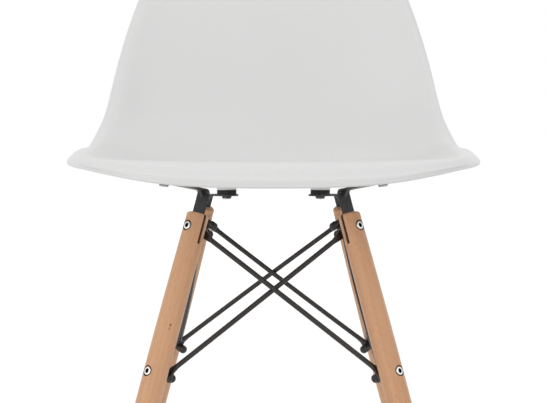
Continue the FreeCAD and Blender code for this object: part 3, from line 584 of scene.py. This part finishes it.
def dome_nut():
    """A dome nut that stands up on its open end at the origin."""
    neck_top = NUT_HEXAGON_HEIGHT + NUT_NECK_HEIGHT
    rings = [
        (ROUND, NUT_BORE_RADIUS, NUT_BORE_DEPTH),
        (ROUND, NUT_BORE_RADIUS, 0),
        (ROUND, NUT_FACE_RADIUS, 0),
        (HEXAGON, NUT_CORNER_RADIUS, NUT_CHAMFER),
        (HEXAGON, NUT_CORNER_RADIUS, NUT_HEXAGON_HEIGHT - NUT_CHAMFER),
        (ROUND, NUT_FACE_RADIUS, NUT_HEXAGON_HEIGHT),
        (ROUND, NUT_NECK_RADIUS, NUT_HEXAGON_HEIGHT),
        (ROUND, NUT_NECK_RADIUS, neck_top),
    ]
    for step in range(DOME_STEPS):
        turn = math.radians(90) * step / DOME_STEPS
        height = neck_top + DOME_FLARE + DOME_HEIGHT * math.sin(turn)
        rings.append((ROUND, DOME_RADIUS * math.cos(turn), height))
    nut = forged(rings)
    ease_edges(nut)
    return nut


nut = dome_nut()
placed_nuts = []
for level, base in NUT_BASES.items():
    for corner in CORNERS:
        placed_nuts.append((nut, leg_place(corner, base, BOLT_HEIGHTS[level]) @ INWARD))
placed_set("cap_nuts", "dome_nuts", placed_nuts, (rod_coat,))


# Struts. Steel rod, flattened and drilled at both ends, and powder coated black. Two cross in each
# side of the base.
SIDES = ("front", "right", "rear", "left")
rod_coat.put_on(*(f"strut_{side}_{layer}" for side in SIDES for layer in ("outer", "inner")))


# Floor glides. Dark grey nylon discs, one under each leg, that a plated nail holds in the end
# grain.
GLIDE_EASE = 0.0003


def dark_nylon():
    finish = Finish("dark_nylon", IOR=1.53)
    scuff = finish.noise(finish.place(), per_metre=700.0, detail=4.0)
    new, scuffed = colour(0.05, 0.05, 0.05), colour(0.085, 0.083, 0.08)
    finish.shade("Base Color", finish.mixed(scuff, new, scuffed))
    finish.shade("Roughness", 0.45 + 0.2 * scuff)
    finish.relief(scuff, metres=0.00005)
    return finish


nylon = dark_nylon()
for corner in CORNERS:
    eased(f"glide_{corner}", GLIDE_EASE, nylon)
eased("glide_nails", FASTENER_EASE, bright_zinc)


# Studio. A white floor that runs out of sight under a white surround, three large soft lamps, and
# no dark edge anywhere for the plastic to mirror.
FLOOR_SIZE = 16.0
FLOOR_WHITE = 0.8
NEAR_BOOST, FAR_BOOST = 0.36, 0.52
NEAR, FAR = 1.0, 4.0
SURROUND_LIGHT = 0.73
LAMPS = {
    "low_left": {"place": (-2.4, -2.2, 0.7), "wide": 1.6, "power": 17.0},
    "high_right": {"place": (2.0, -2.0, 2.2), "wide": 2.0, "power": 12.0},
    "top": {"place": (0.0, 0.6, 3.2), "wide": 2.4, "power": 8.0},
}
LAMPS_AIM = Vector((0, 0, 0.45))
BLACK, WHITE = colour(0.0, 0.0, 0.0), colour(1.0, 1.0, 1.0)

floor_mesh = bmesh.new()
bmesh.ops.create_grid(floor_mesh, x_segments=1, y_segments=1, size=FLOOR_SIZE / 2)
floor = bpy.data.objects.new("floor", bpy.data.meshes.new("floor"))
floor_mesh.to_mesh(floor.data)
floor_mesh.free()
bpy.context.scene.collection.objects.link(floor)

paper = Finish(
    "paper",
    Base_Color=colour(FLOOR_WHITE, FLOOR_WHITE, FLOOR_WHITE),
    Roughness=0.9,
    Specular_IOR_Level=0.0,
    Emission_Strength=1.0,
)


def seen_white(finish):
    """1 for what the camera sees, also by way of metal or gloss, and 0 for light on the object."""
    rays = [
        finish.node("LightPath", {}, {}, kind)
        for kind in ("Is Camera Ray", "Is Glossy Ray", "Is Transmission Ray")
    ]
    both = finish.node("Math", {"operation": "MAXIMUM"}, {0: rays[0], 1: rays[1]})
    return finish.node("Math", {"operation": "MAXIMUM"}, {0: both, 1: rays[2]})


away = paper.node("VectorMath", {"operation": "LENGTH"}, {0: paper.place()}, "Value")
boost = NEAR_BOOST + (FAR_BOOST - NEAR_BOOST) * paper.stepped(away, NEAR, FAR)
paper.shade("Emission Color", paper.mixed(boost * seen_white(paper), BLACK, WHITE))
floor.data.materials.append(paper.material)

world = bpy.data.worlds.new("surround")
world.use_nodes = True
bpy.context.scene.world = world
surround = world.node_tree.nodes["Background"]
surround.inputs["Color"].default_value = WHITE
rays = world.node_tree.nodes.new("ShaderNodeLightPath")
strength = world.node_tree.nodes.new("ShaderNodeMapRange")
strength.inputs["To Min"].default_value = 1.0
strength.inputs["To Max"].default_value = SURROUND_LIGHT
world.node_tree.links.new(rays.outputs["Is Diffuse Ray"], strength.inputs["Value"])
world.node_tree.links.new(strength.outputs["Result"], surround.inputs["Strength"])

for name, lamp in LAMPS.items():
    light = bpy.data.lights.new(name, "AREA")
    light.size = lamp["wide"]
    light.energy = lamp["power"]
    held = bpy.data.objects.new(name, light)
    held.location = lamp["place"]
    held.rotation_euler = (LAMPS_AIM - held.location).to_track_quat("-Z", "Y").to_euler()
    bpy.context.scene.collection.objects.link(held)

bpy.context.scene.view_settings.view_transform = "Standard"
